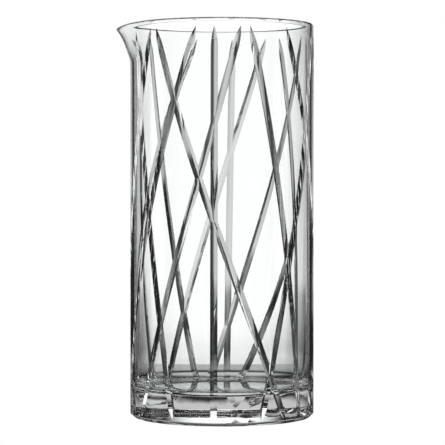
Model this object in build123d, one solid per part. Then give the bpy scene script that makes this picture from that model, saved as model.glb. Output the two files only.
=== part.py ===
from build123d import *

import os
from dataclasses import dataclass
from math import acos, cos, degrees, radians, sin, sqrt, tan

# A tall cut-crystal mixing glass with a pouring spout: one piece of clear glass with a heavy base.
# Millimetres, +Z up. The origin is the centre of the flat foot.
# Angles round the glass are in degrees from -Y, its front, and positive towards +X.

# Bowl
OUTER_RADIUS = 43.0
HEIGHT = 183.5
WALL = 1.8
FLOOR_THICKNESS = 13.1
FLOOR_FILLET = 4.6

# Heel: a polished bevel round the foot, its two corners slightly softened
HEEL_WIDTH = 1.9
HEEL_HEIGHT = 1.75
HEEL_SOFTNESS = 0.5

# Rim: both its edges are rounded
RIM_ROUND = 0.5

# Spout: a rounded nose pulled out of the wall. Its reach is at the rim's height, before the lip turns down.
SPOUT_ANGLE = -94.0
SPOUT_HEIGHT = 17.5
SPOUT_REACH = 7.3
SPOUT_STRAIGHTNESS = 0.8
SPOUT_NOSE_RADIUS = 11.0
SPOUT_WALL = 1.3
SPOUT_ROOT_ANGLE = 12.0
LIP_DROOP = 2.2
LIP_RUN = 13.0
LIP_RUN_ON = 8.0

# Mitre cuts: V-grooves ground down the outside, which fade out to a point at both ends
CUT_DEPTH = 1.09
CUT_INCLUDED_ANGLE = 115.0
CUT_TOP_GAP = 3.6
CUT_FOOT_GAP = 2.5
CUT_TOP_RUNOUT = 11.0
CUT_FOOT_RUNOUT = 6.0
CUTTER_OVERSIZE = 1.2


@dataclass(frozen=True)
class Cut:
    """One groove: its angle at the top and the foot, how far its middle bows, and how much lower it starts."""

    top: float
    foot: float
    bow: float = 0.0
    lower_by: float = 0.0


CUTS = [
    Cut(-66.0, -31.0, -1.5, 1.0),
    Cut(-48.5, -105.0),
    Cut(-44.0, 41.0, -3.0),
    Cut(-15.5, -83.0, -2.5),
    Cut(-4.5, -5.0),
    Cut(11.5, -58.5, 1.5),
    Cut(17.0, 55.0, 4.0),
    Cut(42.5, 115.0, 1.0),
    Cut(75.0, 24.3, 1.0),
    Cut(78.0, 174.0, -6.0),
    Cut(102.0, 92.0),
    Cut(112.0, 193.0),
    Cut(138.0, 121.0, -8.0),
    Cut(149.0, 223.0, 2.5),
    Cut(173.0, 177.0),
    Cut(197.0, 292.0, 2.5),
    Cut(237.0, 195.0, 2.0),
    Cut(248.0, 230.0, 10.5, 2.5),
]

# Worked out from the sizes above
INNER_RADIUS = OUTER_RADIUS - WALL
SPOUT_BASE = HEIGHT - SPOUT_HEIGHT
CUT_TOP = HEIGHT - CUT_TOP_GAP
CUT_FOOT = CUT_FOOT_GAP


def around(radius: float, angle: float, z: float = 0.0) -> Vector:
    """The point at a radius and height, at an angle from the front."""
    return Vector(radius * sin(radians(angle)), -radius * cos(radians(angle)), z)


def evenly(start: float, end: float, steps: int) -> list[float]:
    """Numbers from start to end, both included, in equal steps."""
    return [start + (end - start) * step / steps for step in range(steps + 1)]


def up_spout(z: float) -> float:
    """How far up the spout a height is: 0 at its root and 1 at the rim."""
    return (z - SPOUT_BASE) / SPOUT_HEIGHT


def tip_radius_at(z: float) -> float:
    """The spout's outermost radius at a height: a nearly straight flare that opens towards the lip."""
    up = up_spout(z)
    return OUTER_RADIUS + SPOUT_REACH * (SPOUT_STRAIGHTNESS * up + (1 - SPOUT_STRAIGHTNESS) * up**3)


def nose_spread(wall_radius: float, tip_radius: float, nose_radius: float) -> float:
    """The angle from the spout's middle to where its flank leaves the round wall."""
    return degrees(acos((wall_radius - nose_radius) / (tip_radius - nose_radius)))


def surface_radius_at(z: float, angle: float) -> float:
    """The outside radius at a height and angle, out along the spout's flanks but not round its nose."""
    if z <= SPOUT_BASE:
        return OUTER_RADIUS
    off_spout = abs((angle - SPOUT_ANGLE + 180) % 360 - 180)
    spread = nose_spread(OUTER_RADIUS, tip_radius_at(z), SPOUT_NOSE_RADIUS)
    return OUTER_RADIUS / cos(radians(max(0.0, spread - off_spout)))


def root_section(radius: float, z: float) -> Wire:
    """A plain circle, split where the spout's four edges start."""
    stops = [SPOUT_ROOT_ANGLE, 360 - SPOUT_ROOT_ANGLE, 360 - SPOUT_ROOT_ANGLE / 2]
    stops += [360 + SPOUT_ROOT_ANGLE / 2, 360 + SPOUT_ROOT_ANGLE]
    points = [around(radius, SPOUT_ANGLE + stop, z) for stop in stops]
    middles = [around(radius, SPOUT_ANGLE + (a + b) / 2, z) for a, b in zip(stops, stops[1:])]
    return Wire([ThreePointArc(a, m, b) for a, m, b in zip(points, middles, points[1:])])


def nose_section(wall_radius: float, tip_radius: float, nose_radius: float, z: float) -> Wire:
    """A circle with a rounded nose pulled out of it: wall, tangent line, nose, tangent line."""
    nose_centre = tip_radius - nose_radius
    spread = nose_spread(wall_radius, tip_radius, nose_radius)

    def on_wall(angle: float) -> Vector:
        return around(wall_radius, SPOUT_ANGLE + angle, z)

    def on_nose(angle: float) -> Vector:
        return around(nose_centre, SPOUT_ANGLE, z) + around(nose_radius, SPOUT_ANGLE + angle)

    wall = ThreePointArc(on_wall(spread), on_wall(180.0), on_wall(-spread))
    before = Line(on_wall(-spread), on_nose(-spread))
    nose = ThreePointArc(on_nose(-spread), on_nose(0.0), on_nose(spread))
    after = Line(on_nose(spread), on_wall(spread))
    return Wire([wall, before, nose, after])


def turned(outline: list[tuple[float, float]], rounding: float) -> Part:
    """A round solid from the radius and height of its corners, rounded, up to the root of the spout."""
    with BuildSketch(Plane.XZ) as half:
        with BuildLine():
            FilletPolyline(*outline, radius=rounding)
            Line(outline[-1], (0, SPOUT_BASE))
            Line((0, SPOUT_BASE), outline[0])
        make_face()
    return revolve(half.sketch, axis=Axis.Z)


def outer_form() -> Part:
    """The outside as a solid: a turned tumbler with the spout lofted on its top."""
    sections = [root_section(OUTER_RADIUS, SPOUT_BASE)]
    for z in evenly(SPOUT_BASE, HEIGHT, 4)[1:]:
        sections.append(nose_section(OUTER_RADIUS, tip_radius_at(z), SPOUT_NOSE_RADIUS, z))
    heel = [(OUTER_RADIUS - HEEL_WIDTH, 0), (OUTER_RADIUS, HEEL_HEIGHT)]
    return turned([(0, 0), *heel, (OUTER_RADIUS, SPOUT_BASE)], HEEL_SOFTNESS) + Solid.make_loft(sections)


def inner_form() -> Part:
    """The hollow as a solid: a turned bowl, and the inside of the spout lofted on its top."""
    sections = [root_section(INNER_RADIUS, SPOUT_BASE)]
    for z in evenly(SPOUT_BASE, HEIGHT, 4)[1:]:
        spout_wall = WALL + (SPOUT_WALL - WALL) * up_spout(z)
        tip_radius = tip_radius_at(z) - spout_wall
        sections.append(nose_section(INNER_RADIUS, tip_radius, SPOUT_NOSE_RADIUS - spout_wall, z))
    floor = [(0, FLOOR_THICKNESS), (INNER_RADIUS, FLOOR_THICKNESS)]
    return turned([*floor, (INNER_RADIUS, SPOUT_BASE)], FLOOR_FILLET) + Solid.make_loft(sections)


def above_lip() -> Part:
    """What the turned-down lip leaves away: all that lies above an arc falling to the spout's tip."""
    start = tip_radius_at(HEIGHT) - LIP_RUN
    arc_radius = (LIP_RUN**2 + LIP_DROOP**2) / (2 * LIP_DROOP)
    run = LIP_RUN + LIP_RUN_ON
    end = (start + run, HEIGHT - arc_radius + sqrt(arc_radius**2 - run**2))
    side_view = Plane(origin=(0, 0, 0), x_dir=around(1, SPOUT_ANGLE), z_dir=around(1, SPOUT_ANGLE - 90))
    with BuildSketch(side_view) as side:
        with BuildLine():
            TangentArc((start, HEIGHT), end, tangent=(1, 0))
            Line(end, (end[0], HEIGHT + LIP_DROOP))
            Line((end[0], HEIGHT + LIP_DROOP), (start, HEIGHT + LIP_DROOP))
            Line((start, HEIGHT + LIP_DROOP), (start, HEIGHT))
        make_face()
    return extrude(side.sketch, OUTER_RADIUS, both=True)


def round_rim(glass: Part) -> Part:
    """The glass with both edges of its rim rounded. The short seams across the rim stay as they are."""
    lowest = HEIGHT - LIP_DROOP - WALL
    return glass.fillet(RIM_ROUND, [edge for edge in glass.edges() if edge.center().Z > lowest and edge.length > 2 * WALL])


def cut_section(cut: Cut, z: float) -> Wire:
    """The level triangle that a cut takes out at a height, with its point at the bottom of the groove."""
    cut_top = CUT_TOP - cut.lower_by
    span = cut_top - CUT_FOOT
    down = (cut_top - z) / span
    angle = cut.top + (cut.foot - cut.top) * down + cut.bow * 4 * down * (1 - down)
    turn = (cut.foot - cut.top + cut.bow * 4 * (1 - 2 * down)) / span
    slant = sqrt(1 + (OUTER_RADIUS * radians(turn)) ** 2)
    from_end = min((cut_top - z) / CUT_TOP_RUNOUT, (z - CUT_FOOT) / CUT_FOOT_RUNOUT, 1.0)
    depth = CUT_DEPTH * (1 - (1 - from_end) ** 2)
    rise = CUT_DEPTH + CUTTER_OVERSIZE
    point = around(surface_radius_at(z, angle) - depth, angle, z)
    middle = point + around(rise, angle)
    half_width = around(rise * tan(radians(CUT_INCLUDED_ANGLE / 2)) * slant, angle + 90)
    return Wire.make_polygon([point, middle + half_width, middle - half_width])


def cutters(cut: Cut) -> list[Solid]:
    """One cut's solids: the run-out at the top, the long even groove, and the run-out at the foot."""
    cut_top = CUT_TOP - cut.lower_by
    groove_top = cut_top - CUT_TOP_RUNOUT
    groove_foot = CUT_FOOT + CUT_FOOT_RUNOUT
    past_top = cut_top + CUT_TOP_RUNOUT / 4
    past_foot = CUT_FOOT - CUT_FOOT_RUNOUT / 4
    stretches = [
        evenly(past_top, groove_top, 5),
        evenly(groove_top, groove_foot, 6),
        evenly(groove_foot, past_foot, 5),
    ]
    return [Solid.make_loft([cut_section(cut, z) for z in stretch]) for stretch in stretches]


def glass_body() -> Part:
    """The finished glass."""
    glass = round_rim(outer_form() - inner_form() - above_lip())
    for cut in CUTS:
        for tool in cutters(cut):
            glass = glass - tool
    return glass


os.makedirs("parts", exist_ok=True)
export_step(glass_body(), "parts/glass_body.step")
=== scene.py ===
"""A tall cut-crystal mixing glass with a pouring spout, on a pale studio floor."""
import logging
from dataclasses import dataclass, field
from enum import Enum
from math import atan2, cos, degrees, pi, radians, sin, sqrt, tan

import bmesh
import bpy
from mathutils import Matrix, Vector


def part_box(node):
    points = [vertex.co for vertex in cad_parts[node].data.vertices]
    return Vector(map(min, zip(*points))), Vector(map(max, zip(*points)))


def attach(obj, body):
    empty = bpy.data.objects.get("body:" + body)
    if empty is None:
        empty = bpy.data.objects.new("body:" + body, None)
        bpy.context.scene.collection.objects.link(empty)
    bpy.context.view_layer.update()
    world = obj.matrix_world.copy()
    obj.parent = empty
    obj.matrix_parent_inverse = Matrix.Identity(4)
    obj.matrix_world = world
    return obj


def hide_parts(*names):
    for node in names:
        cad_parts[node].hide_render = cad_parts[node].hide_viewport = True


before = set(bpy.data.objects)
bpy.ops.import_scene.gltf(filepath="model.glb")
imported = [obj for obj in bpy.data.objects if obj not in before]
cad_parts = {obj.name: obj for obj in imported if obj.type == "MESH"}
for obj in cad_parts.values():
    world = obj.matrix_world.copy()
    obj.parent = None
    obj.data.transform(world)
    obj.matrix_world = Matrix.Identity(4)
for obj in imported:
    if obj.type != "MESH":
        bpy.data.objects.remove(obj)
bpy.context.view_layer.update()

MM = 0.001
BOARD_LIE = -0.1 * MM  # a board on the table lies this far under the foot, and the table as far under the board

logging.basicConfig(level=logging.INFO, format="%(message)s")
log = logging.getLogger("mixing_glass")


def linear(hex_colour: str) -> tuple[float, float, float, float]:
    """Turn an sRGB hex colour into the linear colour that Blender's sockets take.

    Args:
        hex_colour: six hex digits after a hash sign.

    Returns:
        Red, green, blue and an alpha of 1.
    """
    parts = [int(hex_colour[i:i + 2], 16) / 255 for i in (1, 3, 5)]
    red, green, blue = [p / 12.92 if p <= 0.04045 else ((p + 0.055) / 1.055) ** 2.4 for p in parts]
    return (red, green, blue, 1.0)


def around(radius: float, angle: float, z: float = 0.0) -> Vector:
    """Find a point by its place round the axis.

    Args:
        radius: distance from the axis.
        angle: degrees from -Y, positive towards +X.
        z: height.

    Returns:
        The point.
    """
    return Vector((radius * sin(radians(angle)), -radius * cos(radians(angle)), z))


def evenly(start: float, end: float, steps: int) -> list[float]:
    """Divide a span into equal steps.

    Args:
        start: the first number.
        end: the last number.
        steps: how many steps lie between them.

    Returns:
        The numbers, both ends included.
    """
    return [start + (end - start) * step / steps for step in range(steps + 1)]


def arc(centre: tuple[float, float], radius: float, start: float, end: float, steps: int) -> list[tuple]:
    """Points of an arc in the outline's plane.

    Args:
        centre: radius and height of the arc's centre.
        radius: radius of the arc.
        start: angle of the first point in degrees, 0 outwards and 90 up.
        end: angle of the last point.
        steps: how many chords stand for the arc.

    Returns:
        The points, both ends included.
    """
    turns = [radians(a) for a in evenly(start, end, steps)]
    return [(centre[0] + radius * cos(t), centre[1] + radius * sin(t)) for t in turns]


def softened(before: tuple, corner: tuple, after: tuple, radius: float, steps: int) -> list[tuple]:
    """Round off one corner of an outline that turns left.

    Args:
        before: the point before the corner.
        corner: the corner itself.
        after: the point after it.
        radius: radius of the rounding.
        steps: how many chords stand for it.

    Returns:
        The points of the rounding, both ends included.
    """
    inward = degrees(atan2(corner[1] - before[1], corner[0] - before[0]))
    outward = degrees(atan2(after[1] - corner[1], after[0] - corner[0]))
    half_turn = radians(outward - inward) / 2
    to_centre = radians((inward + outward) / 2 + 90)
    reach = radius / cos(half_turn)
    centre = (corner[0] + reach * cos(to_centre), corner[1] + reach * sin(to_centre))
    return arc(centre, radius, inward - 90, outward - 90, steps)


def add_node(tree: bpy.types.NodeTree, kind: str, settings: dict, links: dict) -> bpy.types.Node:
    """Add a shader node.

    Args:
        tree: the node tree that gets it.
        kind: the node's type name.
        settings: attribute names, or names or numbers of input sockets, to their values.
        links: names or numbers of input sockets to the output sockets that feed them.

    Returns:
        The new node.
    """
    node = tree.nodes.new(kind)
    for name, value in settings.items():
        if isinstance(name, int) or name in node.inputs:
            node.inputs[name].default_value = value
        else:
            setattr(node, name, value)
    for name, source in links.items():
        tree.links.new(source, node.inputs[name])
    return node


def empty_tree(owner: bpy.types.Material | bpy.types.World) -> bpy.types.NodeTree:
    """Give a material or world an empty node tree.

    Args:
        owner: the material or world.

    Returns:
        Its node tree, with nothing in it.
    """
    owner.use_nodes = True
    owner.node_tree.nodes.clear()
    return owner.node_tree


def deselect_all() -> None:
    """Leave nothing selected, so that an operator acts on the new piece alone."""
    bpy.ops.object.select_all(action="DESELECT")


def make_active(obj: bpy.types.Object) -> None:
    """Select one object alone and make it active.

    Args:
        obj: the object.
    """
    deselect_all()
    obj.select_set(True)
    bpy.context.view_layer.objects.active = obj


@dataclass(frozen=True)
class MitreCut:
    """One V-groove: its angle at the top and the foot, how far its middle bows, and how much lower it starts."""

    top: float
    foot: float
    bow: float = 0.0
    lower_by: float = 0.0


@dataclass
class Bowl:
    """The turned form of the glass. Lengths are in millimetres."""

    outer_radius: float
    height: float
    wall: float = 1.8
    floor: float = 13.1
    floor_fillet: float = 4.6
    heel_width: float = 1.9
    heel_height: float = 1.75
    heel_softness: float = 0.5
    rim_round_width: float = 0.9
    rim_round_height: float = 2.6
    rim_bevel: float = 0.8
    bevel_outer_softness: float = 0.08
    bevel_inner_softness: float = 0.2
    heel_steps: int = 5
    rim_steps: int = 14
    bevel_steps: int = 4
    fillet_steps: int = 10
    disc_steps: int = 4
    wall_steps: int = 16
    upper_steps: int = 18

    @property
    def inner_radius(self) -> float:
        """The inside radius of the wall."""
        return self.outer_radius - self.wall

    def rim_inset(self, z: float) -> float:
        """Work out how far the rim's rounding takes the outside in.

        Args:
            z: height.

        Returns:
            The distance, 0 below the rounding.
        """
        into_rim = max(0.0, z / self.rim_round_height - (self.height / self.rim_round_height - 1))
        return self.rim_round_width * (1 - sqrt(max(0.0, 1 - into_rim**2)))

    def outline(self, spout_base: float) -> list[tuple]:
        """The half section, from the middle of the foot round the outside and the inside to the floor's middle.

        Args:
            spout_base: the height above which the wall needs closer rows, to take the spout.

        Returns:
            Radius and height of each point.
        """
        ground_in = (self.outer_radius - self.heel_width, 0.0)
        ground_up = (self.outer_radius, self.heel_height)
        heel = softened((0.0, 0.0), ground_in, ground_up, self.heel_softness, self.heel_steps)
        wall_top = (self.outer_radius, spout_base)
        heel += softened(ground_in, ground_up, wall_top, self.heel_softness, self.heel_steps)
        lip = (self.outer_radius - self.rim_round_width, self.height)
        bevel_out = (self.inner_radius + self.rim_bevel, self.height)
        bevel_in = (self.inner_radius, self.height - self.rim_bevel)
        turns = [radians(a) for a in evenly(0, 90, self.rim_steps)]
        rounding = [self.height - self.rim_round_height * (1 - sin(t)) for t in turns]
        rim = [(self.outer_radius - self.rim_inset(z), z) for z in rounding]
        rim += softened(lip, bevel_out, bevel_in, self.bevel_outer_softness, self.bevel_steps)
        inner_foot = (self.inner_radius, 0.0)
        rim += softened(bevel_out, bevel_in, inner_foot, self.bevel_inner_softness, self.bevel_steps)
        foot = [(r, 0.0) for r in evenly(0.0, heel[0][0], self.disc_steps)]
        wall = [(self.outer_radius, z) for z in evenly(heel[-1][1], spout_base, self.wall_steps)]
        upper = [(self.outer_radius, z) for z in evenly(spout_base, rim[0][1], self.upper_steps)]
        inner_upper = [(self.inner_radius, z) for z in evenly(rim[-1][1], spout_base, self.upper_steps)]
        fillet_top = self.floor + self.floor_fillet
        inner_wall = [(self.inner_radius, z) for z in evenly(spout_base, fillet_top, self.wall_steps)]
        fillet_centre = (self.inner_radius - self.floor_fillet, fillet_top)
        fillet = arc(fillet_centre, self.floor_fillet, 0, -90, self.fillet_steps)
        floor = [(r, self.floor) for r in evenly(fillet_centre[0], 0.0, self.disc_steps)]
        stretches = [foot, heel, wall, upper, rim, inner_upper, inner_wall, fillet, floor]
        points = [foot[0]]
        for stretch in stretches:
            points += [p for p in stretch if Vector(p).to_tuple(5) != Vector(points[-1]).to_tuple(5)]
        return points


@dataclass
class Spout:
    """The rounded nose pulled out of the wall under the rim. Lengths are in millimetres."""

    bowl: Bowl
    angle: float = -94.0
    height: float = 17.5
    reach: float = 7.3
    straightness: float = 0.8
    root_ease: float = 0.04
    spread: float = 40.0
    sharpness: float = 2.2
    wall: float = 1.2
    lip_droop: float = 2.2
    lip_run: float = 13.0
    inner_reach: float = 1.0
    lip_rounds: int = 4

    @property
    def base(self) -> float:
        """The height where the spout starts to leave the wall."""
        return self.bowl.height - self.height

    def off_middle(self, angle: float) -> float:
        """How far an angle round the glass is from the spout's middle, in degrees."""
        return abs((angle - self.angle + 180) % 360 - 180)

    def tip_radius_at(self, z: float) -> float:
        """Find the spout's outermost radius.

        Args:
            z: height.

        Returns:
            The radius: a nearly straight flare, eased in at its root.
        """
        up = max(0.0, (z - self.base) / self.height)
        eased = up * up * (1 + self.root_ease) / (up + self.root_ease)
        flare = self.straightness * eased + (1 - self.straightness) * eased**3
        return self.bowl.outer_radius + self.reach * flare

    def section_radius(self, off: float, wall_radius: float, tip_radius: float) -> float:
        """The radius of a circle with a smooth nose pulled out of it.

        Args:
            off: angle from the nose's middle, in degrees.
            wall_radius: radius of the circle.
            tip_radius: how far the nose reaches.

        Returns:
            The distance from the axis to the section's edge.
        """
        across = min(off / self.spread, 1.0)
        return wall_radius + max(0.0, tip_radius - wall_radius) * (0.5 + 0.5 * cos(pi * across)) ** self.sharpness

    def surface_radius(self, z: float, angle: float, inside: bool = False) -> float:
        """Find the radius of the outer or inner surface.

        Args:
            z: height.
            angle: degrees from -Y.
            inside: the inner surface instead of the outer one.

        Returns:
            The distance from the axis to that surface.
        """
        off = self.off_middle(angle)
        tip_radius = self.tip_radius_at(z)
        if not inside:
            return self.section_radius(off, self.bowl.outer_radius, tip_radius) - self.bowl.rim_inset(z)
        up = min(max(0.0, (z - self.base) / self.height), 1.0)
        wall = self.bowl.wall + (self.wall - self.bowl.wall) * up
        return self.section_radius(off, self.bowl.inner_radius, tip_radius - wall)

    def droop_at(self, along: float) -> float:
        """Work out how far the lip has turned down.

        Args:
            along: distance from the axis, measured along the spout.

        Returns:
            The drop.
        """
        start = self.tip_radius_at(self.bowl.height) - self.lip_run
        arc_radius = (self.lip_run**2 + self.lip_droop**2) / (2 * self.lip_droop)
        past = max(0.0, along - start)
        return arc_radius - sqrt(arc_radius**2 - past**2)

    def pulled(self, point: Vector) -> Vector:
        """Where a point of the plain turned wall goes when the spout is pulled out.

        Args:
            point: the point in millimetres.

        Returns:
            The moved point. Points under the spout, or away from it, stay.
        """
        radius = Vector((point.x, point.y)).length
        if point.z <= self.base or radius < self.bowl.inner_radius - self.inner_reach:
            return point
        angle = degrees(atan2(point.x, -point.y))
        plain_outer = self.bowl.outer_radius - self.bowl.rim_inset(point.z)
        share = (radius - self.bowl.inner_radius) / (plain_outer - self.bowl.inner_radius)
        up = (point.z - self.base) / self.height
        height = point.z
        outer = self.surface_radius(point.z, angle)
        inner = self.surface_radius(point.z, angle, inside=True)
        for _ in range(self.lip_rounds):
            along = (inner + share * (outer - inner)) * cos(radians(self.off_middle(angle)))
            height = point.z - self.droop_at(along) * up**3
        return around(inner + share * (outer - inner), angle, height)


@dataclass
class MitrePattern:
    """The crossing grooves ground down the outside. Lengths are in millimetres, angles in degrees."""

    spout: Spout
    depth: float = 1.09
    included_angle: float = 115.0
    top_gap: float = 3.6
    foot_gap: float = 2.5
    top_runout: float = 11.0
    foot_runout: float = 6.0
    oversize: float = 1.2
    overshoot: float = 1 / 6
    top_rings: int = 14
    middle_rings: int = 42
    foot_rings: int = 10
    cuts: list[MitreCut] = field(default_factory=lambda: [
        MitreCut(-66.0, -31.0, -1.5, 1.0),
        MitreCut(-48.5, -105.0),
        MitreCut(-44.0, 41.0, -3.0),
        MitreCut(-15.5, -83.0, -2.5),
        MitreCut(-4.5, -5.0),
        MitreCut(11.5, -58.5, 1.5),
        MitreCut(17.0, 55.0, 4.0),
        MitreCut(42.5, 115.0, 1.0),
        MitreCut(75.0, 24.3, 1.0),
        MitreCut(78.0, 174.0, -6.0),
        MitreCut(102.0, 92.0),
        MitreCut(112.0, 193.0),
        MitreCut(138.0, 121.0, -8.0),
        MitreCut(149.0, 223.0, 2.5),
        MitreCut(173.0, 177.0),
        MitreCut(197.0, 292.0, 2.5),
        MitreCut(237.0, 195.0, 2.0),
        MitreCut(248.0, 230.0, 10.5, 2.5),
    ])

    def triangle(self, cut: MitreCut, z: float) -> list[Vector]:
        """Find the level triangle that a cut takes out.

        Args:
            cut: the groove.
            z: height.

        Returns:
            The groove's bottom and two corners outside the glass.
        """
        cut_top = self.spout.bowl.height - self.top_gap - cut.lower_by
        span = cut_top - self.foot_gap
        down = (cut_top - z) / span
        angle = cut.top + (cut.foot - cut.top) * down + cut.bow * 4 * down * (1 - down)
        turn = radians(cut.foot - cut.top + cut.bow * 4 * (1 - 2 * down)) / span
        slant = sqrt(1 + (self.spout.bowl.outer_radius * turn) ** 2)
        from_end = min((cut_top - z) / self.top_runout, (z - self.foot_gap) / self.foot_runout, 1.0)
        depth = self.depth * (1 - (1 - from_end) ** 2)
        rise = self.depth + self.oversize
        point = around(self.spout.surface_radius(z, angle) - depth, angle, z)
        middle = point + around(rise, angle)
        half_width = around(rise * tan(radians(self.included_angle / 2)) * slant, angle + 90)
        return [point, middle + half_width, middle - half_width]

    def heights(self, cut: MitreCut) -> list[float]:
        """List the heights of one cutter's rings.

        Args:
            cut: the groove.

        Returns:
            Heights from the top down, close together where the groove runs out.
        """
        cut_top = self.spout.bowl.height - self.top_gap - cut.lower_by
        groove_top = cut_top - self.top_runout
        groove_foot = self.foot_gap + self.foot_runout
        top = evenly(cut_top + self.top_runout * self.overshoot, groove_top, self.top_rings)
        middle = evenly(groove_top, groove_foot, self.middle_rings)
        foot = evenly(groove_foot, self.foot_gap - self.foot_runout * self.overshoot, self.foot_rings)
        return top + middle[1:] + foot[1:]

    def cutter(self, cut: MitreCut) -> bpy.types.Object:
        """One groove's grinding tool: a three-sided bar, extruded ring by ring along the groove's path.

        Args:
            cut: the groove that it grinds.

        Returns:
            The tool, a closed solid.
        """
        rings = [[corner * MM for corner in self.triangle(cut, z)] for z in self.heights(cut)]
        deselect_all()
        bpy.ops.mesh.primitive_circle_add(
            vertices=3, radius=self.depth * MM, fill_type="NGON", enter_editmode=True)
        tool = bpy.context.object
        tool.name = tool.data.name = "mitre_wheel"
        section = bmesh.from_edit_mesh(tool.data)
        for vertex, corner in zip(section.verts, rings[0]):
            vertex.co = corner
        for last, ring in zip(rings, rings[1:]):
            bpy.ops.mesh.extrude_region_move()
            section = bmesh.from_edit_mesh(tool.data)
            for vertex in [v for v in section.verts if v.select]:
                vertex.co = min(zip(last, ring), key=lambda pair: (pair[0] - vertex.co).length)[1]
        bmesh.update_edit_mesh(tool.data)
        bpy.ops.mesh.select_all(action="SELECT")
        bpy.ops.mesh.normals_make_consistent(inside=False)
        bpy.ops.object.mode_set(mode="OBJECT")
        return tool


@dataclass(frozen=True)
class PolishedCrystal:
    """Lead-free crystal, blown and fire-polished, with mitre cuts polished back to full clarity.

    It gives the eye hard dark and bright edges, because it has no haze and each cut bends light far aside. The wall
    is even. The heavy floor, which cools last, keeps a slow ripple that wavers what is seen through it. The ripple's
    length and height, and the two heights where it dies out, are in millimetres.
    """

    tint: str = "#fdfefe"
    ior: float = 1.52
    ripple_length: float = 7.0
    ripple_height: float = 0.05
    wall_share: float = 0.04
    still_below: float = 10.0
    still_above: float = 17.0

    def ripple(self, tree: bpy.types.NodeTree) -> bpy.types.NodeSocket:
        """The surface's slow ripple, full on the floor of the bowl and nearly gone on the wall.

        Args:
            tree: the material's node tree.

        Returns:
            The rippled normal.
        """
        place = add_node(tree, "ShaderNodeTexCoord", {}, {})
        wave = add_node(tree, "ShaderNodeTexNoise", {
            "Scale": 1 / (self.ripple_length * MM), "Detail": 1.0}, {"Vector": place.outputs["Object"]})
        axes = add_node(tree, "ShaderNodeSeparateXYZ", {}, {"Vector": place.outputs["Object"]})
        share = add_node(tree, "ShaderNodeMapRange", {
            "From Min": self.still_below * MM, "From Max": self.still_above * MM,
            "To Min": 1.0, "To Max": self.wall_share,
        }, {"Value": axes.outputs["Z"]})
        height = add_node(tree, "ShaderNodeMath", {"operation": "MULTIPLY"}, {
            0: wave.outputs["Fac"], 1: share.outputs["Result"]})
        normal = add_node(tree, "ShaderNodeBump", {"Distance": self.ripple_height * MM}, {
            "Height": height.outputs["Value"]})
        return normal.outputs["Normal"]

    def material(self) -> bpy.types.Material:
        """Build the clear, rippled crystal.

        Returns:
            The material.
        """
        made = bpy.data.materials.new("polished_crystal")
        tree = empty_tree(made)
        shader = add_node(tree, "ShaderNodeBsdfPrincipled", {
            "Base Color": linear(self.tint), "Roughness": 0.0, "IOR": self.ior, "Transmission Weight": 1.0,
        }, {"Normal": self.ripple(tree)})
        add_node(tree, "ShaderNodeOutputMaterial", {}, {"Surface": shader.outputs["BSDF"]})
        return made


@dataclass
class MixingGlass:
    """The whole glass: one piece of crystal, which stands for the CAD node glass_body."""

    bowl: Bowl
    spout: Spout
    pattern: MitrePattern
    finish: PolishedCrystal
    segments: int = 384
    crease_angle: float = 24.0
    weld: float = 0.01

    @classmethod
    def from_frame(cls, node: str) -> "MixingGlass":
        """Size the glass from its CAD node.

        Args:
            node: the CAD node's name.

        Returns:
            The glass, not built yet.
        """
        low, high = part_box(node)
        bowl = Bowl(outer_radius=(high[1] - low[1]) / 2 / MM, height=high[2] / MM)
        spout = Spout(bowl)
        return cls(bowl, spout, MitrePattern(spout), PolishedCrystal())

    def turn(self) -> bpy.types.Object:
        """Draw the half section out of one point, and spin it into the plain tumbler.

        Returns:
            The closed tumbler, still without its spout and its grooves.
        """
        points = [Vector((radius, 0.0, z)) * MM for radius, z in self.bowl.outline(self.spout.base)]
        deselect_all()
        bpy.ops.mesh.primitive_plane_add(size=MM, enter_editmode=True)
        body = bpy.context.object
        body.name = body.data.name = "crystal_glass"
        bpy.ops.mesh.merge(type="CENTER")
        bpy.ops.transform.translate(value=points[0])
        for last, point in zip(points, points[1:]):
            bpy.ops.mesh.extrude_region_move(TRANSFORM_OT_translate={"value": point - last})
        bpy.ops.mesh.select_all(action="SELECT")
        bpy.ops.mesh.spin(steps=self.segments, angle=2 * pi, center=(0, 0, 0), axis=(0, 0, 1))
        bpy.ops.mesh.select_all(action="SELECT")
        bpy.ops.mesh.remove_doubles(threshold=self.weld * MM)
        bpy.ops.mesh.normals_make_consistent(inside=False)
        bpy.ops.object.mode_set(mode="OBJECT")
        return body

    def pull_spout(self, body: bpy.types.Object) -> None:
        """Draw the nose out of the wall and turn its lip down.

        Args:
            body: the plain tumbler.
        """
        for vertex in body.data.vertices:
            vertex.co = self.spout.pulled(vertex.co / MM) * MM

    def grind(self, body: bpy.types.Object) -> None:
        """Take every groove out of the outside.

        Args:
            body: the tumbler with its spout.
        """
        for cut in self.pattern.cuts:
            tool = self.pattern.cutter(cut)
            make_active(body)
            modifier = body.modifiers.new("mitre", "BOOLEAN")
            modifier.operation = "DIFFERENCE"
            modifier.solver = "MANIFOLD"
            modifier.object = tool
            bpy.ops.object.modifier_apply(modifier=modifier.name)
            bpy.data.objects.remove(tool)

    def build(self, node: str) -> bpy.types.Object:
        """Make the glass, dress it and hand it to the frame.

        Args:
            node: the CAD node that it stands for.

        Returns:
            The finished object.
        """
        body = self.turn()
        self.pull_spout(body)
        self.grind(body)
        make_active(body)
        bpy.ops.object.shade_smooth_by_angle(angle=radians(self.crease_angle))
        body.data.materials.clear()
        body.data.materials.append(self.finish.material())
        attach(body, "root")
        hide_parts(node)
        log.info("%s: %d faces", body.name, len(body.data.polygons))
        return body


class Stance(Enum):
    """How a light board is set up: standing behind the glass, or lying on the table."""

    STANDING = "standing"
    LYING = "lying"


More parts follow.
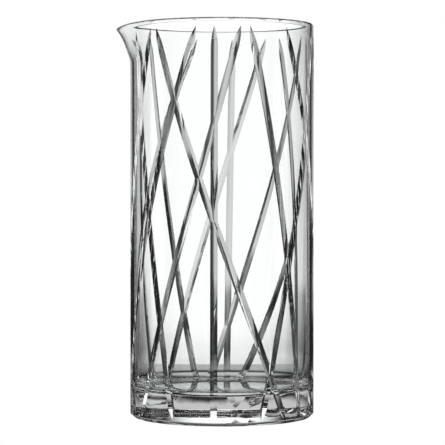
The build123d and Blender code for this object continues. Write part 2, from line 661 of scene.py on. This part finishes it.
@dataclass(frozen=True)
class SoftBox:
    """A round-cornered diffuser board that fades out at its edge. It lights the glass and isn't seen itself.

    Lengths are in metres. The four edges are where the light is half gone. Left and right are along X. Near and far
    are heights over the table for a standing board, and distances from the glass for a lying one.
    """

    name: str
    left: float
    right: float
    near: float
    far: float
    glow: float
    corner: float
    fade: float
    distance: float = 0.225
    stance: Stance = Stance.STANDING

    def beyond(
        self, tree: bpy.types.NodeTree, place: bpy.types.NodeSocket, low: float, high: float
    ) -> bpy.types.NodeSocket:
        """Work out how far a place lies outside a span.

        Args:
            tree: the board's node tree.
            place: the place along one axis.
            low: where the span starts.
            high: where it ends.

        Returns:
            The distance to the span, 0 inside it.
        """
        off = add_node(tree, "ShaderNodeMath", {"operation": "SUBTRACT", 1: (low + high) / 2}, {0: place})
        size = add_node(tree, "ShaderNodeMath", {"operation": "ABSOLUTE"}, {0: off.outputs["Value"]})
        past = add_node(tree, "ShaderNodeMath", {"operation": "SUBTRACT", 1: (high - low) / 2}, {
            0: size.outputs["Value"]})
        kept = add_node(tree, "ShaderNodeMath", {"operation": "MAXIMUM", 1: 0.0}, {0: past.outputs["Value"]})
        return kept.outputs["Value"]

    def material(self) -> bpy.types.Material:
        """Build the lit diffuser cloth: even in the middle, soft all round its edge.

        Returns:
            The material.
        """
        made = bpy.data.materials.new(self.name)
        made.cycles.emission_sampling = "NONE"
        tree = empty_tree(made)
        place = add_node(tree, "ShaderNodeTexCoord", {}, {})
        axes = add_node(tree, "ShaderNodeSeparateXYZ", {}, {"Vector": place.outputs["Object"]})
        along = axes.outputs["Y" if self.stance is Stance.LYING else "Z"]
        past = add_node(tree, "ShaderNodeCombineXYZ", {}, {
            "X": self.beyond(tree, axes.outputs["X"], self.left + self.corner, self.right - self.corner),
            "Y": self.beyond(tree, along, self.near + self.corner, self.far - self.corner),
        })
        away = add_node(tree, "ShaderNodeVectorMath", {"operation": "LENGTH"}, {0: past.outputs["Vector"]})
        share = add_node(tree, "ShaderNodeMapRange", {
            "interpolation_type": "SMOOTHSTEP", "From Min": self.corner - self.fade,
            "From Max": self.corner + self.fade, "To Min": 1.0, "To Max": 0.0,
        }, {"Value": away.outputs["Value"]})
        lit = add_node(tree, "ShaderNodeEmission", {"Strength": self.glow}, {})
        clear = add_node(tree, "ShaderNodeBsdfTransparent", {}, {})
        shown = add_node(tree, "ShaderNodeMixShader", {}, {
            0: share.outputs["Result"], 1: clear.outputs["BSDF"], 2: lit.outputs["Emission"]})
        add_node(tree, "ShaderNodeOutputMaterial", {}, {"Surface": shown.outputs["Shader"]})
        return made

    def stand(self) -> None:
        """Set the board up at its place, seen by the glass alone."""
        left, right = self.left - self.fade, self.right + self.fade
        near, far = max(self.near - self.fade, 0.0), self.far + self.fade
        across, along = (left + right) / 2, (near + far) / 2
        lying = self.stance is Stance.LYING
        deselect_all()
        bpy.ops.mesh.primitive_plane_add(
            size=1.0,
            location=(across, along, BOARD_LIE) if lying else (across, self.distance, along),
            rotation=(0.0 if lying else radians(90), 0.0, 0.0),
        )
        board = bpy.context.object
        board.name = board.data.name = self.name
        board.scale = (right - left, far - near, 1.0)
        bpy.ops.object.transform_apply(location=True, rotation=True, scale=True)
        board.data.materials.append(self.material())
        board.visible_camera = False


@dataclass(frozen=True)
class SkyWindow:
    """A soft bright patch of the far surroundings. Angles are in degrees.

    The bearing is from straight behind the glass, positive towards +X. Half width and half height are to where the
    patch's light is half gone.
    """

    bearing: float
    elevation: float
    half_width: float
    half_height: float
    glow: float
    fade: float = 3.0

    def fading(
        self, tree: bpy.types.NodeTree, angle: bpy.types.NodeSocket, middle: float, half: float
    ) -> bpy.types.NodeSocket:
        """Work out how much of the light is left in one direction.

        Args:
            tree: the world's node tree.
            angle: the angle looked at, in radians.
            middle: the angle of the patch's middle.
            half: how far from it the light is half gone.

        Returns:
            1 inside the patch, 0 outside.
        """
        off = add_node(tree, "ShaderNodeMath", {"operation": "SUBTRACT", 1: radians(middle)}, {0: angle})
        size = add_node(tree, "ShaderNodeMath", {"operation": "ABSOLUTE"}, {0: off.outputs["Value"]})
        soft = add_node(tree, "ShaderNodeMapRange", {
            "interpolation_type": "SMOOTHSTEP", "From Min": radians(half - self.fade),
            "From Max": radians(half + self.fade), "To Min": 1.0, "To Max": 0.0,
        }, {"Value": size.outputs["Value"]})
        return soft.outputs["Result"]

    def light(self, tree: bpy.types.NodeTree, direction: bpy.types.NodeSocket) -> bpy.types.NodeSocket:
        """Work out how strong this patch's light is.

        Args:
            tree: the world's node tree.
            direction: the direction looked in.

        Returns:
            The strength of the light.
        """
        turned = add_node(tree, "ShaderNodeVectorRotate", {
            "rotation_type": "Z_AXIS", "Angle": radians(self.bearing)}, {"Vector": direction})
        axes = add_node(tree, "ShaderNodeSeparateXYZ", {}, {"Vector": turned.outputs["Vector"]})
        sideways = add_node(tree, "ShaderNodeMath", {"operation": "ARCTAN2"}, {
            0: axes.outputs["X"], 1: axes.outputs["Y"]})
        up = add_node(tree, "ShaderNodeMath", {"operation": "ARCSINE"}, {0: axes.outputs["Z"]})
        share = add_node(tree, "ShaderNodeMath", {"operation": "MULTIPLY"}, {
            0: self.fading(tree, sideways.outputs["Value"], 0.0, self.half_width),
            1: self.fading(tree, up.outputs["Value"], self.elevation, self.half_height),
        })
        level = add_node(tree, "ShaderNodeMath", {"operation": "MULTIPLY", 1: self.glow}, {0: share.outputs["Value"]})
        return level.outputs["Value"]


@dataclass
class Studio:
    """Camera, floor and light. Lengths are in metres."""

    camera_distance: float = 0.890
    camera_aside: float = 0.00026
    camera_height: float = 0.109
    camera_drop: float = 1.17
    lens: float = 153.4
    film_width: float = 36.0
    floor_size: float = 8.0
    bounces: int = 32
    room: float = 0.015
    boxes: list[SoftBox] = field(default_factory=lambda: [
        SoftBox("back_panel", -0.073, 0.067, -0.006, 0.250, 1.18, corner=0.065, fade=0.032),
        SoftBox("back_sheet", -0.094, 0.100, 0.047, 0.245, 0.62, corner=0.012, fade=0.006, distance=0.226),
        SoftBox("back_left_wing", -0.138, -0.105, 0.100, 0.240, 0.50, corner=0.010, fade=0.005, distance=0.226),
        SoftBox("back_right_wing", 0.108, 0.139, 0.100, 0.240, 0.42, corner=0.010, fade=0.005, distance=0.226),
        SoftBox("back_low_wing", 0.088, 0.118, 0.030, 0.105, 0.40, corner=0.010, fade=0.006, distance=0.227),
        SoftBox("back_table", -0.075, 0.075, 0.150, 0.350, 0.48, corner=0.06, fade=0.05, stance=Stance.LYING),
        SoftBox("back_glow", -0.030, 0.030, 0.058, 0.092, 0.60, corner=0.016, fade=0.012, stance=Stance.LYING),
    ])
    windows: list[SkyWindow] = field(default_factory=lambda: [
        SkyWindow(-90.0, -3.0, 10.0, 8.0, 1.10),
        SkyWindow(135.0, -15.0, 10.0, 8.0, 1.10),
        SkyWindow(-45.0, -25.0, 10.0, 8.0, 1.10),
        SkyWindow(45.0, -22.0, 10.0, 8.0, 1.10),
        SkyWindow(90.0, -20.0, 10.0, 8.0, 1.10),
        SkyWindow(180.0, -20.0, 10.0, 8.0, 1.10),
        SkyWindow(-135.0, -20.0, 10.0, 8.0, 1.10),
        SkyWindow(0.0, -80.0, 200.0, 18.0, 0.70),
        SkyWindow(70.0, 0.0, 15.0, 5.0, 0.50),
        SkyWindow(180.0, 0.0, 60.0, 5.0, 0.15),
        SkyWindow(150.0, 29.0, 50.0, 10.0, 0.40),
    ])

    def place_camera(self) -> None:
        """Stand the camera in front of the glass."""
        deselect_all()
        bpy.ops.object.camera_add(
            location=(self.camera_aside, -self.camera_distance, self.camera_height),
            rotation=(radians(90 - self.camera_drop), 0.0, 0.0),
        )
        camera = bpy.context.object
        camera.data.lens = self.lens
        camera.data.sensor_width = self.film_width
        bpy.context.scene.camera = camera

    def lay_floor(self) -> None:
        """Lay a plain white table top for the camera. The glass sees only the boards that lie on it."""
        made = bpy.data.materials.new("white_table_top")
        made.cycles.emission_sampling = "NONE"
        tree = empty_tree(made)
        lit = add_node(tree, "ShaderNodeEmission", {"Color": linear("#ffffff"), "Strength": 1.0}, {})
        add_node(tree, "ShaderNodeOutputMaterial", {}, {"Surface": lit.outputs["Emission"]})
        deselect_all()
        bpy.ops.mesh.primitive_plane_add(size=self.floor_size, location=(0.0, 0.0, 2 * BOARD_LIE))
        bpy.ops.object.transform_apply(location=True)
        floor = bpy.context.object
        floor.name = floor.data.name = "floor"
        floor.data.materials.append(made)
        floor.visible_transmission = False
        floor.visible_glossy = False

    def light_world(self) -> None:
        """Give the camera a white background, and the glass a dim room with bright windows.

        The glass doesn't see the white background, so its edges and cuts stay dark.
        """
        world = bpy.data.worlds.new("studio")
        bpy.context.scene.world = world
        tree = empty_tree(world)
        place = add_node(tree, "ShaderNodeTexCoord", {}, {})
        first = add_node(tree, "ShaderNodeValue", {}, {})
        first.outputs["Value"].default_value = self.room
        level = first.outputs["Value"]
        for window in self.windows:
            more = add_node(tree, "ShaderNodeMath", {"operation": "ADD"}, {
                0: level, 1: window.light(tree, place.outputs["Generated"])})
            level = more.outputs["Value"]
        light = add_node(tree, "ShaderNodeLightPath", {}, {})
        seen = add_node(tree, "ShaderNodeMix", {"data_type": "FLOAT", "B": 1.0}, {
            "Factor": light.outputs["Is Camera Ray"], "A": level})
        shade = add_node(tree, "ShaderNodeBackground", {"Color": linear("#ffffff")}, {
            "Strength": seen.outputs["Result"]})
        add_node(tree, "ShaderNodeOutputWorld", {}, {"Surface": shade.outputs["Background"]})

    def set_boards(self) -> None:
        """Set up every light board."""
        for box in self.boxes:
            box.stand()
            log.info("light board: %s", box.name)

    def set_view(self) -> None:
        """Plain colours, and enough bounces for light to find its way out of solid glass."""
        scene = bpy.context.scene
        scene.view_settings.view_transform = "Standard"
        scene.cycles.max_bounces = self.bounces
        scene.cycles.transmission_bounces = self.bounces
        scene.cycles.glossy_bounces = self.bounces


def main() -> None:
    """Build the glass and its studio."""
    studio = Studio()
    studio.place_camera()
    glass = MixingGlass.from_frame("glass_body")
    body = glass.build("glass_body")
    log.info("glass: %s", body.name)
    studio.lay_floor()
    studio.light_world()
    studio.set_boards()
    studio.set_view()


if __name__ == "__main__":
    main()
